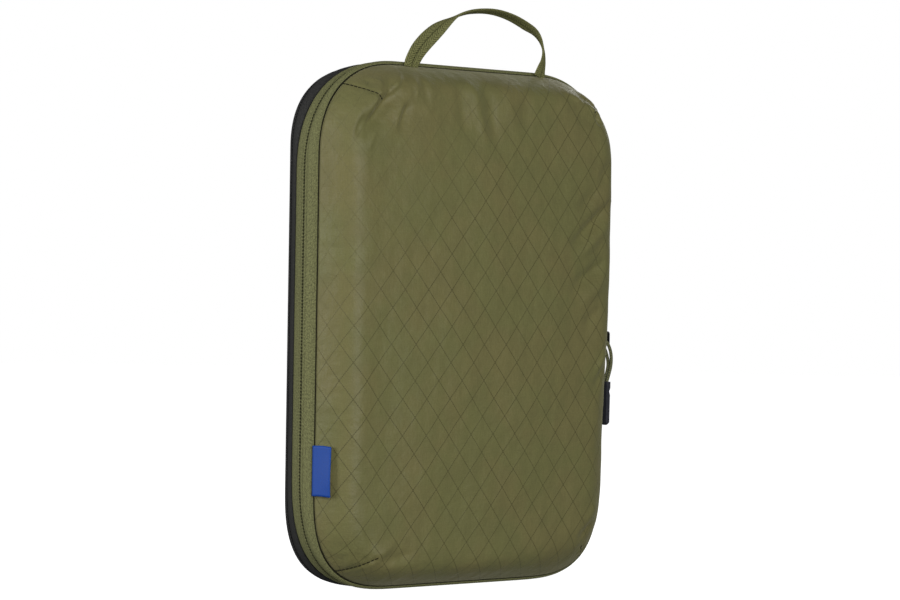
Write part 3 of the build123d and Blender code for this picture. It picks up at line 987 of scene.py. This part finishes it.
def make_inner_seams():
    """The seams' bindings and the coils that the wall hides, and dark cords in the seam gaps that
    are painted shade for those gaps.
    """
    # name, line, inset, behind the line, width, depth, points, CAD nodes, body
    seams = [
        # the two cords are painted shade: dark stand-ins for the shadow in the front and middle
        # seams' gaps
        ("front_seam_shadow_cord", front_seam, 0.55, 0.25, 0.9, 1.0, 10, (), "front_half"),
        ("front_seam_allowance", front_seam, 2.7, 2.6, 1.4, 4.4, 12,
         ["front_seam_binding"], "front_half"),
        ("middle_seam_shadow_cord", middle_seam, 1.0, 0.0, 1.3, 1.1, 10, (), "middle_ring"),
        ("middle_seam_allowance", middle_seam, 3.6, 2.4, 1.4, 4.2, 12,
         ["middle_seam_binding"], "middle_ring"),
        ("rear_seam_allowance", rear_seam, 3.2, 2.4, 1.4, 4.2, 12,
         ["rear_seam_binding"], "rear_lid"),
    ]
    for *shape, nodes, body in seams:
        dress(hoop(*shape), binding_and_seam_shade, nodes, body)
    # CAD node, line, side of the zipper, start within the pitch, body, where it is
    halves = [
        ("compression_coil_front", compression_line, -0.75, 0.0, "front_half", None),
        ("compression_coil_rear", compression_line, 0.75, 0.5, "middle_ring", None),
        ("main_coil_front", main_line, -0.75, 0.0, "middle_ring", off_hinge),
        ("main_coil_rear", main_line, 0.75, 0.5, "rear_lid", off_hinge),
    ]
    for node, line, side, phase, body, keep in halves:
        piece = coil_half(node + "_turns", line, line.depth + side, -1.2 * side, phase, keep)
        dress(piece, nylon, [node], body)


PLEATS = 8
SEWN_INSET, OUTER_INSET, INNER_INSET = 2.6, 4.6, 9.6  # of the gusset's edges and its folds


def make_gusset():
    """The expansion gusset, folded in pleats behind the compression zipper."""
    start, end = middle_seam.depth - 0.9, front_seam.depth + 3.4
    lines = []
    for k in range(PLEATS + 1):
        inset = SEWN_INSET if k in (0, PLEATS) else (INNER_INSET if k % 2 else OUTER_INSET)
        line = middle_seam.inside(inset, start + (end - start) * k / PLEATS)
        line.low = max(line.low, inset + 0.4)
        lines.append(line)
    piece = band("gusset_cloth", lines, 0.35)
    dress(piece, ripstop, ["expansion_gusset"])
    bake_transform(piece)


# -------- rear panel
LID_RISE, LID_SLACK = 14.5, 1.2
LID_REACH = 46  # how far in from the seam the lid's edge has risen


def rear_height(x, z):
    """How far the lid's panel stands out behind its seam."""
    qx = np.clip((rear_seam.side - np.abs(x)) / LID_REACH, 0, 1)
    qz = np.clip((rear_seam.half - np.abs(z - rear_seam.middle)) / LID_REACH, 0, 1)
    corner = np.clip(1 - np.hypot(1 - qx, 1 - qz), 0, 1)
    share = 1 - (1 - corner) ** 2.3
    soft = np.sin(x * 0.043 + z * 0.021) * np.sin(z * 0.033 - x * 0.012 + 1.0)
    return LID_RISE * share + LID_SLACK * share * soft


def make_rear_panel():
    piece = panel_mesh("rear_panel_cloth", rear_seam, rear_height, 1)
    dress(piece, black_ripstop, ["rear_panel"], "rear_lid")


# -------- handle
STRAP_WIDE, STRAP_THICK = 11.5, 1.7
HANDLE_MIDDLE = (box_mm("handle")[0][0] + box_mm("handle")[1][0]) / 2
HANDLE_FRONT = 2.2  # the strap's ends stand this far in front of the seam
# The strap's middle line: X from its middle, how far behind its ends, height over the seam.
ARCH = [
    (-57.5, -0.6, -1.6), (-56.5, -0.8, 2.5), (-51.4, -1.5, 11.0), (-41.3, -2.0, 21.0),
    (-27.5, -2.0, 31.4), (-12.0, -1.6, 38.0), (3.0, -1.2, 40.6), (17.0, -1.0, 40.6),
    (31.6, -0.8, 37.8), (46.3, -0.6, 32.2), (55.2, -0.4, 26.8), (60.4, -0.2, 18.8),
    (61.0, 0.0, 10.5), (58.6, -0.4, 3.0), (57.0, -0.6, -1.6),
]
# Where along the strap, and how many degrees its flat side is turned to the front there.
TWIST = [
    (0, 88), (0.06, 82), (0.13, 64), (0.22, 34), (0.33, -14), (0.42, -12),
    (0.6, -9), (0.76, -6), (0.85, 36), (0.93, 56), (1, 84),
]


def smooth_path(points, steps):
    """Evenly spaced points on a curve through the given ones, and how far along they are."""
    p = np.asarray(points, float)
    p = np.vstack([2 * p[0] - p[1], p, 2 * p[-1] - p[-2]])
    t = np.linspace(0, 1, 40, endpoint=False)[:, None]
    fine = []
    for a, b, c, d in zip(p, p[1:], p[2:], p[3:]):
        square, cube = 2 * a - 5 * b + 4 * c - d, 3 * b - a - 3 * c + d
        fine.append(0.5 * (2 * b + (c - a) * t + square * t**2 + cube * t**3))
    fine = np.vstack(fine + [p[-2][None]])
    along = lengths_along(fine)
    marks = np.linspace(0, along[-1], steps)
    return sampled(fine, along, marks), marks


def strap_section():
    """Across the strap: thinner at its edges, with a groove down its middle on both sides."""
    side = []
    for s in np.linspace(-1, 1, 15):
        edge = 1 - abs(s) ** 6 * 0.75
        groove = 0.16 * math.exp(-(s / 0.09) ** 2)
        side.append((s * STRAP_WIDE / 2, STRAP_THICK / 2 * edge - groove))
    return side + [(a, -b) for a, b in reversed(side)]


def make_handle():
    start = np.array([HANDLE_MIDDLE, front_seam.depth - HANDLE_FRONT, front_seam.high])
    path, along = smooth_path(start + np.array(ARCH), 150)
    turn = np.interp(along / along[-1], *np.array(TWIST).T)
    kernel = np.hanning(13) / np.hanning(13).sum()
    turn = np.convolve(np.pad(turn, 6, "edge"), kernel, "valid")
    ahead = np.gradient(path, axis=0)
    ahead /= np.linalg.norm(ahead, axis=1)[:, None]
    away = np.stack([-ahead[:, 2], np.zeros(len(path)), ahead[:, 0]], 1)
    away /= np.linalg.norm(away, axis=1)[:, None]
    rad = np.radians(turn)[:, None]
    face = np.cos(rad) * away + np.sin(rad) * np.array([[0, -1, 0]])
    wide = np.cross(ahead, face)
    section = strap_section()
    points, uv = [], []
    for k in range(len(path)):
        for a, b in section:
            points.append(path[k] + wide[k] * a + face[k] * b)
            uv.append((a, along[k]))
    count = len(section)
    faces = grid_faces(len(path), count, closed_columns=True)
    faces.append(tuple(range(count)))
    faces.append(tuple(len(points) - count + n for n in reversed(range(count))))
    piece = make_mesh("handle_webbing", points, faces, uv)
    dress(piece, olive_webbing, ["handle"], "carry_handle")


# -------- label
LABEL_LONG, LABEL_HALF = 14.0, 0.55  # how far it sticks out, and half of its fold's thickness
LABEL_ROWS = 26


def make_label():
    """A folded ribbon sewn into the left seam, lying against the panel's steep edge."""
    low, high = box_mm("side_label")
    base = np.array([-front_seam.side - 0.9, front_seam.depth - 0.2])
    way = np.array([0.27, -0.963])
    side = np.array([way[1], -way[0]])
    loop = [(t * LABEL_LONG, LABEL_HALF) for t in np.linspace(0, 1, 12)]
    for t in np.linspace(0.3, math.pi - 0.3, 7):
        tip = LABEL_LONG + LABEL_HALF * 0.9 * math.sin(t)
        loop.append((tip, LABEL_HALF * math.cos(t)))
    loop += [(t * LABEL_LONG, -LABEL_HALF) for t in np.linspace(1, 0, 12)]
    points, uv = [], []
    for v in np.linspace(0, 1, LABEL_ROWS):
        z = low[2] + (high[2] - low[2]) * v
        for s, w in loop:
            out = s / LABEL_LONG
            lift = 0.5 * math.sin(math.pi * v) * out**2 + 0.25 * math.sin(5.2 * v + 0.5) * out
            spot = base + way * s + side * (w + lift)
            points.append((spot[0], spot[1], z + 0.25 * math.sin(s * 0.3)))
            uv.append((s, z))
    piece = make_mesh("side_label_ribbon", points, grid_faces(LABEL_ROWS, len(loop)), uv)
    thicken(piece, 0.3, 0)
    dress(piece, label_satin, ["side_label"], "front_half")


# -------- sliders, pulls and small parts
def softened(node, ending, material, width, body):
    """A CAD piece with its edges rounded, as it leaves the mould."""
    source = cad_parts[node]
    piece = new_object(node + ending, source.data.copy())
    piece.matrix_world = source.matrix_world.copy()
    piece.data.materials.clear()
    weld = piece.modifiers.new("weld", "WELD")
    weld.merge_threshold = 0.00001
    bevel = piece.modifiers.new("edges", "BEVEL")
    bevel.width, bevel.segments = width * MM, 3
    bevel.limit_method, bevel.angle_limit = "ANGLE", math.radians(35)
    settle(piece)
    piece.data.polygons.foreach_set("use_smooth", [True] * len(piece.data.polygons))
    smooth = piece.modifiers.new("normals", "WEIGHTED_NORMAL")
    smooth.keep_sharp = True
    dress(piece, material, [node], body)
    return piece


CORD_RADIUS = 1.2
# One strand of the pull's cord, from the tip up to the bridge, seen from the middle of its turn.
STRAND = [(1.9, 1.3, -29), (4.4, 1.3, -22.5), (5.9, 1.5, -15.5), (4.4, 2.6, -7.5), (0, 2.9, 0)]


def make_pull(prefix, body):
    """The cord loop through a slider's bridge, and the tip that its ends go into."""
    low, high = box_mm(prefix + "_pull_cord")
    eye = np.array([low[0] + CORD_RADIUS, (low[1] + high[1]) / 2, high[2] - CORD_RADIUS])
    route = [(x, -y, z) for x, y, z in STRAND] + list(reversed(STRAND))
    curve = bpy.data.curves.new(prefix + "_pull_cord_loop", "CURVE")
    curve.dimensions = "3D"
    line = curve.splines.new("NURBS")
    line.points.add(len(route) - 1)
    for point, place in zip(line.points, route):
        point.co = (*((eye + np.array(place)) * MM), 1)
    line.order_u, line.resolution_u, line.use_endpoint_u = 3, 24, True
    curve.bevel_depth, curve.bevel_resolution = CORD_RADIUS * MM, 6
    curve.use_fill_caps = True
    piece = new_object(prefix + "_pull_cord_loop", curve)
    dress(piece, olive_cord, [prefix + "_pull_cord"], body)
    tip = softened(prefix + "_pull_tip", "_moulded", grey_plastic, 0.6, body)


def make_hardware():
    for prefix in ("compression", "main"):
        slider = prefix + "_slider"
        softened(slider, "_cast", black_metal, 0.3, slider + "_body")
        make_pull(prefix, prefix + "_pull")
    ring = "middle_ring"
    softened("compression_end_clip", "_moulded", black_plastic, 0.5, ring)
    softened("compression_zip_garage", "_fold", olive_fold, 0.4, ring)


make_front_panel()
make_dart_stitches()
make_compression_tapes()
make_main_tapes()
make_inner_seams()
make_gusset()
make_rear_panel()
make_handle()
make_label()
make_hardware()

bpy.context.scene.view_settings.view_transform = "Standard"
bpy.context.view_layer.update()
